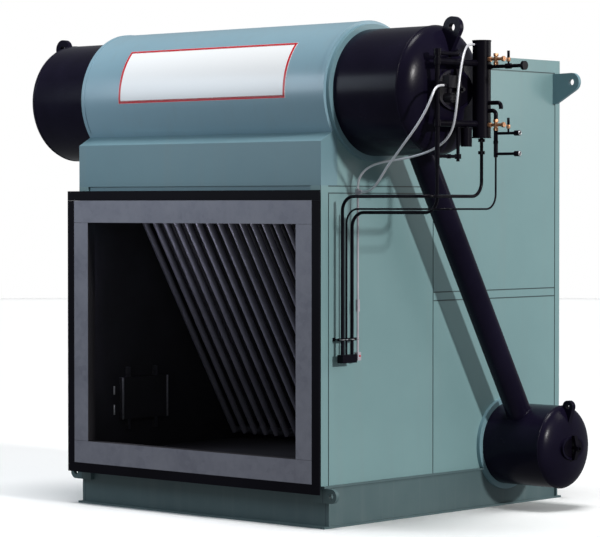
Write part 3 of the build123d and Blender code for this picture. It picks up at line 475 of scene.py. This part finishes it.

# %% [markdown]
# Each CAD node belongs to a material slot of the record. The node keeps its mesh and gets the finish of
# its slot; the front header, the inlet lintel, the drum collars and the lifting lugs get the outer
# enamel instead.

# %% Paint the CAD nodes
slot_finish = {
    "base_paint": base_paint,
    "casing_paint": casing_paint,
    "jacket_paint": jacket_paint,
    "flange_black": flange_black,
    "liner_metal": liner_metal,
    "drum_black": drum_black,
    "cover_black": cover_black,
    "tube_steel": tube_steel,
    # Inner tube rows: near-black painted shade.
    "tube_soot": tube_soot,
    "dog_steel": dog_steel,
    "trim_black": trim_black,
    "valve_brass": valve_brass,
    "control_grey": control_grey,
    "conduit_pale": conduit_pale,
    "flex_silver": flex_silver,
}
outer_nodes = ("front_header", "inlet_lintel", "steam_drum_collars", "mud_drum_collars", "rear_lifting_lugs")
for part in frame["record"]["subparts"]:
    node = frame["nodes"][part["node"]]
    finish = outer_paint if part["node"] in outer_nodes else slot_finish[part["material_slot"]]
    node.data.materials.clear()
    node.data.materials.append(finish)

# %% [markdown]
# Two flexible conduits leave the head of the rigid one: one runs to the level control, one to the water
# column. A cord is one smooth line, so each is a NURBS curve with a round bevel, along the same points as
# its CAD solid.

# %% Flexible conduits
flex_diameter = 0.017
level_flex_points = (
    (1.352, -1.092, 2.394),
    (1.426, -1.092, 2.394),
    (1.528, -1.118, 2.462),
    (1.640, -1.150, 2.572),
    (1.770, -1.200, 2.660),
    (1.885, -1.244, 2.742),
    (1.985, -1.263, 2.827),
    (2.062, -1.266, 2.918),
    (2.112, -1.264, 2.996),
    (2.132, -1.250, 3.062),
    (2.128, -1.214, 3.108),
    (2.122, -1.160, 3.130),
    (2.122, -1.114, 3.130),
)
column_flex_points = (
    (1.316, -1.092, 2.416),
    (1.316, -1.092, 2.470),
    (1.343, -1.078, 2.530),
    (1.400, -1.068, 2.574),
    (1.500, -1.058, 2.603),
    (1.640, -1.038, 2.622),
    (1.800, -1.026, 2.646),
    (1.955, -1.018, 2.690),
    (2.068, -1.024, 2.748),
    (2.136, -1.034, 2.824),
    (2.172, -1.047, 2.916),
    (2.190, -1.047, 3.040),
    (2.190, -1.026, 3.176),
    (2.172, -0.975, 3.298),
    (2.136, -0.896, 3.388),
    (2.100, -0.811, 3.430),
    (2.100, -0.749, 3.430),
)


def flexible_conduit(name, points, node):
    """A free cord along its points, in place of its CAD solid."""
    line = bpy.data.curves.new(name, "CURVE")
    line.dimensions = "3D"
    line.resolution_u = 12
    line.bevel_depth = flex_diameter / 2
    line.bevel_resolution = 5
    line.use_fill_caps = True
    spline = line.splines.new("NURBS")
    spline.points.add(len(points) - 1)
    for point, place in zip(spline.points, points):
        point.co = (*place, 1.0)
    spline.order_u = 3
    spline.use_endpoint_u = True
    piece = bpy.data.objects.new(name, line)
    bpy.context.scene.collection.objects.link(piece)
    line.materials.append(flex_silver)
    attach(piece, "root")
    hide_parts(node)
    print(name, "has", len(points), "points")
    return piece


flexible_conduit("level_flex_line", level_flex_points, "level_flex")
flexible_conduit("column_flex_line", column_flex_points, "column_flex")

# %% [markdown]
# New pieces are modelled as by hand. These helpers do what a person does between two strokes: clear the
# selection, enter edit mode, and at the end fix the piece's place in its mesh, paint it and tie it to the
# frame.

# %% Modelling helpers


def begin():
    """Leave edit mode and select nothing."""
    if bpy.context.object and bpy.context.object.mode != "OBJECT":
        bpy.ops.object.mode_set(mode="OBJECT")
    bpy.ops.object.select_all(action="DESELECT")


def edit_all():
    """Enter edit mode with everything selected."""
    bpy.ops.object.mode_set(mode="EDIT")
    bpy.ops.mesh.select_all(action="SELECT")


def seal():
    """Merge doubles, close open ends and turn all faces outwards."""
    bpy.ops.mesh.select_all(action="SELECT")
    bpy.ops.mesh.remove_doubles(threshold=0.00002)
    bpy.ops.mesh.fill_holes(sides=0)
    bpy.ops.mesh.normals_make_consistent(inside=False)


def settle(name, finish, smooth_degrees=40.0):
    """Finish the active piece: name, place in its mesh, smooth shading, paint and body."""
    bpy.ops.object.mode_set(mode="OBJECT")
    piece = bpy.context.object
    piece.name = name
    piece.data.name = name
    bpy.ops.object.transform_apply(location=True, rotation=True, scale=True)
    bpy.ops.object.shade_smooth_by_angle(angle=math.radians(smooth_degrees))
    if finish:
        piece.data.materials.clear()
        piece.data.materials.append(finish)
    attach(piece, "root")
    print(name, len(piece.data.polygons), "faces")
    return piece


print("modelling helpers ready")

# %% [markdown]
# A white sign panel wraps the front of the drum jacket, with a thin red line just inside its edge. The
# panel is bare. A curved sheet is best spun: one straight edge turns about the drum's axis. Two insets
# then mark off the red line.

# %% Sign panel
panel_left = -0.842
panel_right = 0.874
panel_start = math.radians(-4.6)
panel_end = math.radians(43.9)
panel_lift = 0.002
panel_thickness = 0.003
panel_margin = 0.001
red_line = 0.021
panel_radius = jacket_radius + panel_lift


def sign_finish(name, dark, pale, rough):
    """Printed vinyl: even colour with the faint waves of a sheet pulled over a curve."""
    material, tree, place = start_finish(name)
    waves = noise(place, 5.0, 2.0, 0.5, stretch=(1.0, 3.0, 3.0))
    weathering = noise(place, 40.0, 4.0, 0.6)
    end_finish(
        tree,
        Base_Color=weathering.blend(dark, pale),
        Roughness=rough + 0.1 * weathering,
        Normal=bump(waves, 0.05, 0.004),
    )
    return material


sign_white = sign_finish("sign_white", (0.95, 0.95, 0.95, 1.0), (0.98, 0.98, 0.98, 1.0), 0.28)
sign_red = sign_finish("sign_red", (0.56, 0.004, 0.014, 1.0), (0.64, 0.007, 0.020, 1.0), 0.34)

begin()
bpy.ops.mesh.primitive_plane_add(size=1.0)
sign = bpy.context.object
edit_all()
bpy.ops.mesh.select_all(action="DESELECT")
bpy.ops.object.mode_set(mode="OBJECT")
for corner in sign.data.vertices:
    corner.select = corner.co.y > 0
bpy.ops.object.mode_set(mode="EDIT")
bpy.ops.mesh.delete(type="VERT")
bpy.ops.mesh.select_all(action="SELECT")
start_point = Vector((
    (panel_left + panel_right) / 2,
    steam_centre.y - panel_radius * math.cos(panel_start),
    steam_centre.z + panel_radius * math.sin(panel_start),
))
bpy.ops.transform.resize(value=(panel_right - panel_left, 1.0, 1.0))
bpy.ops.object.mode_set(mode="OBJECT")
lift = start_point - Vector((0.0, -0.5, 0.0))
sign.data.transform(Matrix.Translation(lift))
edit_all()
bpy.ops.mesh.spin(steps=32, angle=panel_end - panel_start, center=steam_centre, axis=(1.0, 0.0, 0.0))
bpy.ops.mesh.select_all(action="SELECT")
bpy.ops.mesh.normals_make_consistent(inside=False)
bpy.ops.object.mode_set(mode="OBJECT")
sign.data.materials.append(sign_white)
sign.data.materials.append(sign_red)
edit_all()
bpy.ops.mesh.inset(thickness=panel_margin, depth=0.0)
sign.active_material_index = 1
bpy.ops.object.material_slot_assign()
bpy.ops.mesh.inset(thickness=red_line, depth=0.0)
sign.active_material_index = 0
bpy.ops.object.material_slot_assign()
bpy.ops.object.mode_set(mode="OBJECT")
outwards = sign.data.polygons[0].normal.dot(sign.data.polygons[0].center - steam_centre)
if outwards < 0:
    sign.data.flip_normals()
sheet = sign.modifiers.new("thickness", "SOLIDIFY")
sheet.thickness = panel_thickness
sheet.offset = 1.0
bpy.ops.object.modifier_apply(modifier=sheet.name)
settle("sign_panel", None)
print("sign from", min(v.co.z for v in sign.data.vertices), "to", max(v.co.z for v in sign.data.vertices))

# %% [markdown]
# Where a dished head meets its shell there is a weld: a low rounded bead all round. A small circle spun
# about the drum's axis makes it. The same stroke with a flat profile gives the hoops that bind the ends
# of the jacket.

# %% Weld beads on the drums
bead_radius = 0.006
bead_sink = 0.002


def weld_bead(name, centre, x, radius):
    """A bead round a drum at x."""
    begin()
    start = Vector((x, centre.y, centre.z + radius - bead_sink))
    bpy.ops.mesh.primitive_circle_add(
        vertices=8, radius=bead_radius, location=start, rotation=(math.pi / 2, 0.0, 0.0)
    )
    bpy.ops.object.transform_apply(location=True, rotation=True, scale=True)
    edit_all()
    bpy.ops.mesh.spin(steps=96, angle=2 * math.pi, center=(x, centre.y, centre.z), axis=(1.0, 0.0, 0.0))
    bpy.ops.mesh.select_all(action="SELECT")
    bpy.ops.mesh.remove_doubles(threshold=0.0002)
    bpy.ops.mesh.normals_make_consistent(inside=False)
    settle(name, drum_black, 60.0)


for side, sign_x in (("right", 1.0), ("left", -1.0)):
    weld_bead(f"steam_head_weld_{side}", steam_centre, sign_x * steam_seam, steam_radius)
    weld_bead(f"mud_head_weld_{side}", mud_centre, sign_x * mud_seam, mud_radius)

# %% [markdown]
# The jacket's ends are bound with a flat hoop that laps the sheet. It runs from the header round to the
# roof.

# %% Jacket hoops
hoop_width = 0.030
hoop_thickness = 0.004
header_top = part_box("front_header")[1].z
roof_top = case_high.z
hoop_start = math.asin((header_top - steam_centre.z) / jacket_radius)
hoop_end = math.pi - math.asin((roof_top - steam_centre.z) / jacket_radius)


def jacket_hoop(name, x):
    """A flat hoop over the jacket at x."""
    begin()
    radius = jacket_radius + hoop_thickness / 2
    start = Vector((
        x,
        steam_centre.y - radius * math.cos(hoop_start),
        steam_centre.z + radius * math.sin(hoop_start),
    ))
    bpy.ops.mesh.primitive_plane_add(size=1.0)
    hoop = bpy.context.object
    edit_all()
    bpy.ops.transform.resize(value=(hoop_width, hoop_thickness, 1.0))
    bpy.ops.object.mode_set(mode="OBJECT")
    hoop.data.transform(Matrix.Rotation(-hoop_start, 4, "X"))
    hoop.data.transform(Matrix.Translation(start))
    edit_all()
    bpy.ops.mesh.spin(steps=64, angle=hoop_end - hoop_start, center=steam_centre, axis=(1.0, 0.0, 0.0))
    seal()
    settle(name, jacket_paint, 30.0)


for side, sign_x in (("right", 1.0), ("left", -1.0)):
    jacket_hoop(f"jacket_hoop_{side}", sign_x * (half_width - hoop_width / 2))

# %% [markdown]
# Where a downcomer stands on a drum, the weld follows the line in which two cylinders meet. At each angle
# round the pipe, Pythagoras gives the height at which the drum's surface lies. A bevelled closed line
# along it is the bead.

# %% Downcomer welds
downcomer_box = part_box("downcomers")
downcomer_radius = 0.095
downcomer_x = downcomer_box[1].x - downcomer_radius
drum_run = mud_centre - steam_centre
slope = drum_run.normalized()
square = Vector((0.0, slope.z, -slope.y))
saddle_points = 48


def saddle_weld(name, centre, radius, along, x):
    """A bead round a downcomer's foot on a drum."""
    begin()
    line = bpy.data.curves.new(name, "CURVE")
    line.dimensions = "3D"
    line.bevel_depth = bead_radius
    line.bevel_resolution = 1
    spline = line.splines.new("POLY")
    spline.points.add(saddle_points - 1)
    for number, point in enumerate(spline.points):
        turn = 2 * math.pi * number / saddle_points
        side = downcomer_radius * math.sin(turn)
        height = math.sqrt(radius ** 2 - side ** 2)
        place = centre + square * side + along * height
        point.co = (x + downcomer_radius * math.cos(turn), place.y, place.z, 1.0)
    spline.use_cyclic_u = True
    bead = bpy.data.objects.new(name, line)
    bpy.context.scene.collection.objects.link(bead)
    bead.select_set(True)
    bpy.context.view_layer.objects.active = bead
    bpy.ops.object.convert(target="MESH")
    settle(name, drum_black, 60.0)


for side, sign_x in (("right", 1.0), ("left", -1.0)):
    saddle_weld(f"steam_saddle_weld_{side}", steam_centre, steam_radius, slope, sign_x * downcomer_x)
    saddle_weld(f"mud_saddle_weld_{side}", mud_centre, mud_radius, -slope, sign_x * downcomer_x)

# %% [markdown]
# Small fittings start as a cylinder between two points. Its rims are softened with a bevel modifier,
# because even a small machined part catches light along its edges, and like fittings are joined to one
# piece.

# %% Fitting helpers


def bar(start, end, radius, sides=16, soft=0.0015, taper=1.0):
    """A round or hexagonal bar between two points, with soft rims and, if wanted, a taper."""
    begin()
    run = Vector(end) - Vector(start)
    bpy.ops.mesh.primitive_cylinder_add(vertices=sides, radius=radius, depth=run.length)
    made = bpy.context.object
    bpy.ops.object.mode_set(mode="OBJECT")
    for corner in made.data.vertices:
        corner.select = corner.co.z > 0
    bpy.ops.object.mode_set(mode="EDIT")
    bpy.ops.transform.resize(value=(taper, taper, 1.0))
    bpy.ops.object.mode_set(mode="OBJECT")
    rims = made.modifiers.new("rims", "BEVEL")
    rims.width = soft
    rims.segments = 2
    rims.limit_method = "ANGLE"
    rims.angle_limit = math.radians(50.0)
    bpy.ops.object.modifier_apply(modifier=rims.name)
    made.data.transform(run.to_track_quat("Z", "Y").to_matrix().to_4x4())
    made.data.transform(Matrix.Translation((Vector(start) + Vector(end)) / 2))
    return made


def join(pieces, name, finish):
    """Join like pieces to one and settle it."""
    begin()
    for piece in pieces:
        piece.select_set(True)
    bpy.context.view_layer.objects.active = pieces[0]
    if len(pieces) > 1:
        bpy.ops.object.join()
    return settle(name, finish)


print("fitting helpers ready")

# %% [markdown]
# The gauge's two stop valves have a brass body at the foot of a black lever. The lever ends in a thicker
# grip, so that it can be turned with a glove on. The try cocks end in an open nozzle with a bright rim.

# %% Levers and nozzles
column_low, column_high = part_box("water_column")
trim_y = column_high.y - (column_high.x - column_low.x) / 2
column_x = (column_low.x + column_high.x) / 2
lever_x = column_x + 0.238
outlet_z = steam_centre.z + 0.1627
cock_z = steam_centre.z - 0.307
low_cock_z = steam_centre.z - 0.451
cock_end = column_x + 0.339
hub_rise = 0.032
hub_height = 0.028
grip_top = 0.108
hub_radius = 0.0150
grip_radius = 0.0075
rim_radius = 0.0135
rim_thickness = 0.004

hubs = []
grips = []
for pipe_z in (outlet_z, cock_z):
    hub = (lever_x, trim_y, pipe_z + hub_rise)
    hub_top = (lever_x, trim_y, pipe_z + hub_rise + hub_height)
    tip = (lever_x, trim_y, pipe_z + grip_top)
    hubs.append(bar(hub, hub_top, hub_radius, sides=6, soft=0.003))
    grips.append(bar(hub_top, tip, grip_radius, taper=1.3))
join(hubs, "lever_hubs", valve_brass)
join(grips, "lever_grips", trim_black)


def ring_on_x(x, y, z, radius, thickness):
    """A round ring that faces along X."""
    begin()
    bpy.ops.mesh.primitive_circle_add(
        vertices=8, radius=thickness, location=(x, y, z + radius), rotation=(math.pi / 2, 0.0, 0.0)
    )
    bpy.ops.object.transform_apply(location=True, rotation=True, scale=True)
    edit_all()
    bpy.ops.mesh.spin(steps=24, angle=2 * math.pi, center=(x, y, z), axis=(1.0, 0.0, 0.0))
    bpy.ops.mesh.select_all(action="SELECT")
    bpy.ops.mesh.remove_doubles(threshold=0.0002)
    bpy.ops.mesh.normals_make_consistent(inside=False)
    bpy.ops.object.mode_set(mode="OBJECT")
    return bpy.context.object


rims = [ring_on_x(cock_end, trim_y, z, rim_radius, rim_thickness) for z in (cock_z, low_cock_z)]
join(rims, "nozzle_rims", bolt_zinc)

# %% [markdown]
# U-bolts hold the drains and the conduit to their clamp bar. A small circle is drawn out to a straight
# leg, spun half round the pipe and drawn out again.

# %% U-bolts
clamp_low, clamp_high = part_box("pipe_clamp")
clamp_z = (clamp_low.z + clamp_high.z) / 2
bolt_radius = 0.0032
clamped_pipes = (
    (1.320, -1.263, 0.012),
    (1.315, -1.213, 0.007),
    (1.320, -1.158, 0.012),
    (1.316, -1.092, 0.008),
)


def u_bolt(x, y, pipe_radius):
    """A U-bolt round an upright pipe, with its legs in the clamp bar."""
    begin()
    reach = pipe_radius + bolt_radius
    leg = x - clamp_high.x + 0.004
    bpy.ops.mesh.primitive_circle_add(
        vertices=8,
        radius=bolt_radius,
        location=(x - leg, y + reach, clamp_z),
        rotation=(0.0, math.pi / 2, 0.0),
    )
    bpy.ops.object.transform_apply(location=True, rotation=True, scale=True)
    edit_all()
    bpy.ops.mesh.extrude_region_move(TRANSFORM_OT_translate={"value": (leg, 0.0, 0.0)})
    bpy.ops.mesh.spin(steps=12, angle=math.pi, center=(x, y, clamp_z), axis=(0.0, 0.0, 1.0))
    bpy.ops.mesh.extrude_region_move(TRANSFORM_OT_translate={"value": (-leg, 0.0, 0.0)})
    seal()
    bpy.ops.object.mode_set(mode="OBJECT")
    return bpy.context.object


join([u_bolt(*pipe) for pipe in clamped_pipes], "u_bolts", bolt_zinc)

# %% [markdown]
# A small switch with a red button sits on the foot of the rigid conduit, and six bolts hold the round
# cover of the level control.

# %% Button and cover bolts
foot_x = 1.316 + 0.019
foot_y = -1.092
button_z = 1.222
button = bar((foot_x - 0.001, foot_y, button_z), (foot_x + 0.006, foot_y, button_z), 0.007)
join([button], "foot_button", sign_red)

cover_y = -1.050
cover_z = 3.046
bolt_circle = 0.024
bolt_count = 6
bolt_foot = 2.1545
bolt_top = 2.161
cover_bolts = []
for number in range(bolt_count):
    turn = 2 * math.pi * number / bolt_count
    y = cover_y + bolt_circle * math.cos(turn)
    z = cover_z + bolt_circle * math.sin(turn)
    cover_bolts.append(bar((bolt_foot, y, z), (bolt_top, y, z), 0.0055, sides=6, soft=0.0008))
join(cover_bolts, "level_cover_bolts", control_grey)

# %% [markdown]
# Inside, the access panel has a bright strip down both of its edges, and two short grip bars stand beside
# it. Outside, a row of bolts holds its cover plate to the casing.

# %% Access panel details
panel_low, panel_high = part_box("access_panel")
plug_face = panel_high.x
lap = 0.047
strip_width = 0.016
strips = []
for y in (panel_low.y + lap + strip_width / 2, panel_high.y - lap - strip_width / 2):
    begin()
    bpy.ops.mesh.primitive_cube_add(size=1.0)
    strip = bpy.context.object
    edit_all()
    bpy.ops.transform.resize(value=(0.004, strip_width, panel_high.z - panel_low.z - 2 * lap))
    bpy.ops.mesh.bevel(offset=0.001, segments=2, affect="EDGES")
    bpy.ops.object.mode_set(mode="OBJECT")
    strip.data.transform(Matrix.Translation((plug_face + 0.002, y, (panel_low.z + panel_high.z) / 2)))
    strips.append(strip)
join(strips, "panel_edge_strips", bolt_zinc)

grip_y = panel_low.y + lap - 0.060
inner_wall = -inner_half
grip_x = inner_wall + 0.006
grip_spans = ((0.670, 0.749), (0.828, 0.894))
bars = [bar((grip_x, grip_y, low), (grip_x, grip_y, high), 0.007) for low, high in grip_spans]
join(bars, "panel_grip_bars", bolt_zinc)

cover_bolts = []
cover_face = panel_low.x
edge = 0.022
bolts_along = 5
bolts_up = 3
for row in range(bolts_up + 2):
    for column in range(bolts_along + 2):
        if 0 < row < bolts_up + 1 and 0 < column < bolts_along + 1:
            continue
        y = panel_low.y + edge + (panel_high.y - panel_low.y - 2 * edge) * column / (bolts_along + 1)
        z = panel_low.z + edge + (panel_high.z - panel_low.z - 2 * edge) * row / (bolts_up + 1)
        foot = (cover_face + 0.001, y, z)
        top = (cover_face - 0.007, y, z)
        cover_bolts.append(bar(foot, top, 0.009, sides=6, soft=0.001))
join(cover_bolts, "access_cover_bolts", bolt_zinc)

# %% [markdown]
# The studio has a pale floor and a glowing backdrop, so the object stands in white as in the photograph.
# Both are hidden from bounced light and reflections, so that only the sky and the lamps light the object.
# A low sun from the right throws the downcomer's shadow along the wall, a second sun lights what faces
# up, and two soft boxes fill the front and the rear corner. A strip lamp behind the left edge of the
# inlet brings out the tubes.

# %% Floor and light


def floor_finish(name):
    """Pale painted floor with the faintest clouds."""
    material, tree, place = start_finish(name)
    clouds = noise(place, 0.4, 4.0, 0.6)
    end_finish(
        tree,
        Base_Color=clouds.blend((0.92, 0.92, 0.92, 1.0), (0.95, 0.95, 0.95, 1.0)),
        Roughness=0.55 + 0.1 * clouds,
        Normal=bump(noise(place, 30.0, 3.0), 0.03, 0.001),
    )
    return material


floor_size = 90.0
begin()
bpy.ops.mesh.primitive_plane_add(size=floor_size)
floor = bpy.context.object
floor.name = "studio_floor"
floor.data.materials.append(floor_finish("studio_floor"))
floor.visible_diffuse = False
floor.visible_glossy = False

backdrop_height = 12.0
begin()
bpy.ops.mesh.primitive_cylinder_add(
    vertices=64,
    radius=floor_size / 2,
    depth=backdrop_height,
    end_fill_type="NOTHING",
    location=(0.0, 0.0, backdrop_height / 2),
)
backdrop = bpy.context.object
backdrop.name = "studio_backdrop"
glow, tree, place = start_finish("studio_backdrop")
end_finish(
    tree,
    Base_Color=(0.0, 0.0, 0.0, 1.0),
    Specular_IOR_Level=0.0,
    Emission_Color=(1.0, 1.0, 1.0, 1.0),
    Emission_Strength=1.0,
)
backdrop.data.materials.append(glow)
backdrop.visible_diffuse = False
backdrop.visible_glossy = False

sky_colour = (0.92, 0.97, 1.0, 1.0)
sky_strength = 0.25
world = bpy.data.worlds.new("studio_sky")
world.use_nodes = True
world.node_tree.nodes["Background"].inputs["Color"].default_value = sky_colour
world.node_tree.nodes["Background"].inputs["Strength"].default_value = sky_strength
bpy.context.scene.world = world


def sun(name, towards, strength, spread, colour):
    """Parallel light that comes from a direction, with soft edges."""
    data = bpy.data.lights.new(name, "SUN")
    data.energy = strength
    data.angle = math.radians(spread)
    data.color = colour
    lamp = bpy.data.objects.new(name, data)
    lamp.rotation_euler = Vector(towards).to_track_quat("Z", "Y").to_euler()
    bpy.context.scene.collection.objects.link(lamp)


def softbox(name, place, target, size, power, colour):
    """Square lamp that looks at a target."""
    data = bpy.data.lights.new(name, "AREA")
    data.energy = power
    data.size = size
    data.color = colour
    lamp = bpy.data.objects.new(name, data)
    lamp.location = place
    lamp.rotation_euler = (Vector(place) - Vector(target)).to_track_quat("Z", "Y").to_euler()
    bpy.context.scene.collection.objects.link(lamp)


def strip_lamp(name, place, target, width, height, power, colour):
    """Upright strip lamp that looks at a target."""
    data = bpy.data.lights.new(name, "AREA")
    data.energy = power
    data.shape = "RECTANGLE"
    data.size = width
    data.size_y = height
    data.color = colour
    lamp = bpy.data.objects.new(name, data)
    lamp.location = place
    lamp.rotation_euler = (Vector(place) - Vector(target)).to_track_quat("Z", "Y").to_euler()
    lamp.visible_camera = False
    bpy.context.scene.collection.objects.link(lamp)


sun("key_sun", (1.0, -0.01, 0.30), 2.1, 4.0, (1.0, 0.985, 0.96))
sun("top_sun", (0.05, -0.05, 1.0), 2.45, 25.0, (1.0, 1.0, 1.0))
softbox("front_box", (-4.0, -6.0, 4.6), (0.0, -0.8, 2.6), 2.5, 135.0, (0.76, 0.88, 1.0))
softbox("rear_box", (5.5, 4.5, 4.2), (1.25, 0.7, 2.4), 2.5, 60.0, (1.0, 0.99, 0.97))
strip_lamp("inlet_strip", (-1.12, -1.37, 1.45), (1.0, -1.37, 1.45), 0.05, 1.1, 7.0, (0.86, 0.86, 1.0))
bpy.context.scene.view_settings.view_transform = "Standard"
print("studio ready")
